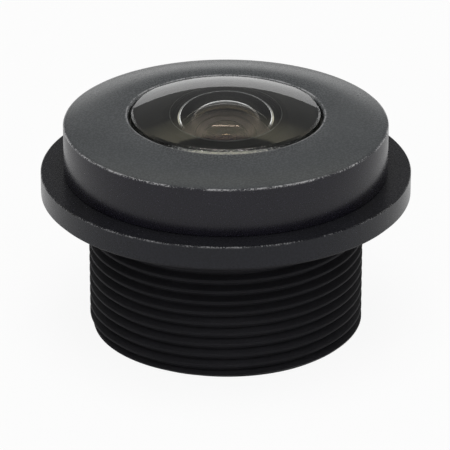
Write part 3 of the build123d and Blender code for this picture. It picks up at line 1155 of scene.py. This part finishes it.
@dataclass(frozen=True)
class Lamp:
    """One soft lamp that looks at the lens, placed and sized in metres."""

    name: str
    place: tuple[float, float, float]
    width: float
    depth: float
    watts: float
    mirrored: bool = True

    def hang(self) -> None:
        """Hangs the lamp, round where its two widths are equal."""
        lamp = bpy.data.lights.new(self.name, "AREA")
        lamp.shape = "DISK" if self.width == self.depth else "RECTANGLE"
        lamp.size = self.width
        lamp.size_y = self.depth
        lamp.energy = self.watts
        holder = bpy.data.objects.new(self.name, lamp)
        holder.location = self.place
        holder.rotation_euler = (-Vector(self.place)).to_track_quat("-Z", "Y").to_euler()
        holder.visible_glossy = self.mirrored
        holder.visible_transmission = self.mirrored
        bpy.context.scene.collection.objects.link(holder)


@dataclass
class Studio:
    """A white floor that runs up into a low white wall all round, soft lamps and the camera."""

    floor_drop: float = 0.00002
    floor_inner: float = 0.1
    floor_steps: int = 128
    floor_merge: float = 1e-6
    wall_radius: float = 0.9
    cove: float = 0.08
    cove_steps: int = 12
    wall_height: float = 0.205
    floor_tone: float = 0.66
    fibres_per_mm: float = 0.5
    fibre_shade: float = 0.01
    shown_white: float = 0.92
    mirrored_white: float = 0.77
    room_back: float = 0.19
    room_glow: Colour = (0.64, 0.61, 0.48)
    glow_span: Point = (-0.62, -0.12)
    room_front: float = 1.30
    front_depth: Point = (-0.5, 0.1)
    front_height: Point = (0.30, 0.50)
    room_top: float = 0.14
    ceiling_from: float = 58.5
    ceiling_fade: float = 0.06
    lamps: tuple[Lamp, ...] = (
        Lamp("top_lamp", (0, 0, 1.1), 0.70, 0.70, 7.6, mirrored=False),
        Lamp("front_lamp", (0, -0.70, 1.05), 1.5, 0.09, 4.8),
    )
    camera_back: float = 0.1457019
    camera_height: float = 0.0729638
    camera_pitch: float = 25.197
    focal_pixels: float = 3697.99
    centre_offset_pixels: float = 0.88
    frame_pixels: float = 450.0
    sensor_width: float = 36.0
    clip: Point = (0.005, 3.0)

    def floor_material(self) -> Finish:
        """White paper that shows white to the eye and to gloss, and lights the object as paper does.

        Returns:
            The material.
        """
        nodes = Nodes(bpy.data.materials.new("studio_paper"))
        fibre = nodes.noise(nodes.place(), self.fibres_per_mm, 4.0)
        tone = nodes.blend(fibre, (self.floor_tone - self.fibre_shade,) * 3, (self.floor_tone,) * 3)
        paper = nodes.add("BsdfDiffuse", {"Color": tone})
        glow = nodes.add("Emission", {"Color": (1, 1, 1, 1), "Strength": 1.0})
        path = nodes.add("LightPath")
        seen = nodes.math("MAXIMUM", path.outputs["Is Camera Ray"], path.outputs["Is Transmission Ray"])
        shown = nodes.math("MULTIPLY", seen, self.shown_white)
        mirrored = nodes.math("MULTIPLY", path.outputs["Is Glossy Ray"], self.mirrored_white)
        share = nodes.math("MAXIMUM", shown, mirrored)
        mixed = nodes.add("MixShader", {0: share, 1: paper.outputs[0], 2: glow.outputs[0]})
        return nodes.finished(mixed)

    def build_floor(self) -> None:
        """Builds the floor and its wall as one turned sheet."""
        reach, cove = self.wall_radius, self.cove
        section = Section((0, 0))
        section.to((self.floor_inner, 0), (reach - cove, 0))
        section.swing((reach - cove, cove), -math.pi / 2, self.cove_steps)
        section.to((reach, self.wall_height))
        mesh = section.mesh
        whole_turn(mesh, self.floor_steps)
        bmesh.ops.remove_doubles(mesh, verts=mesh.verts[:], dist=self.floor_merge)
        bmesh.ops.translate(mesh, verts=mesh.verts[:], vec=(0, 0, -self.floor_drop))
        for face in mesh.faces:
            face.smooth = True
        made_object("studio_floor", mesh, [self.floor_material()])

    def build_world(self) -> None:
        """A room that is white to the eye: bright in front, dark overhead, with a warm glow high behind."""
        nodes = Nodes(bpy.data.worlds.new("studio_room"))
        looked = nodes.add("SeparateXYZ", {0: nodes.add("TexCoord").outputs["Generated"]}).outputs
        slope = math.tan(math.radians(self.ceiling_from))
        over = nodes.math("SUBTRACT", looked[2], nodes.math("MULTIPLY", looked[1], slope))
        under = nodes.blend(nodes.ranged(over, *self.glow_span), (self.room_back,) * 3, self.room_glow)
        behind = nodes.blend(nodes.ranged(over, 0.0, self.ceiling_fade), under, (self.room_top,) * 3)
        low = nodes.ranged(looked[2], *self.front_height, 1.0, 0.0)
        front = nodes.math("MULTIPLY", nodes.ranged(looked[1], *self.front_depth, 1.0, 0.0), low)
        tone = nodes.blend(front, behind, (self.room_front,) * 3)
        room = nodes.add("Background", {"Color": tone, "Strength": 1.0})
        white = nodes.add("Background", {"Color": (1, 1, 1, 1), "Strength": 1.0})
        path = nodes.add("LightPath")
        ends = {1: room.outputs[0], 2: white.outputs[0]}
        mixed = nodes.add("MixShader", {0: path.outputs["Is Camera Ray"], **ends})
        bpy.context.scene.world = nodes.finished(mixed)

    def build_camera(self) -> None:
        """Sets the camera where the photograph was taken from."""
        data = bpy.data.cameras.new("photo_camera")
        data.sensor_width = self.sensor_width
        data.lens = self.focal_pixels / self.frame_pixels * self.sensor_width
        data.clip_start, data.clip_end = self.clip
        camera = bpy.data.objects.new("photo_camera", data)
        camera.location = (0, -self.camera_back, self.camera_height)
        yaw = math.atan(self.centre_offset_pixels / self.focal_pixels)
        camera.rotation_euler = (math.radians(90 - self.camera_pitch), 0, yaw)
        bpy.context.scene.collection.objects.link(camera)
        bpy.context.scene.camera = camera

    def build(self) -> None:
        """Builds the studio."""
        bpy.context.scene.view_settings.view_transform = "Standard"
        self.build_floor()
        self.build_world()
        for lamp in self.lamps:
            lamp.hang()
        self.build_camera()


def main() -> None:
    """Builds every sub-assembly in order, then the studio."""
    logging.basicConfig(level=logging.INFO, format="%(message)s")
    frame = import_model()
    finishes = Finishes()
    Barrel(finishes).build()
    FrontCap(finishes).build()
    FrontGroup(finishes).build()
    InnerStack(finishes).build()
    RearGroup(finishes).build(frame["nodes"])
    Studio().build()


if __name__ == "__main__":
    main()
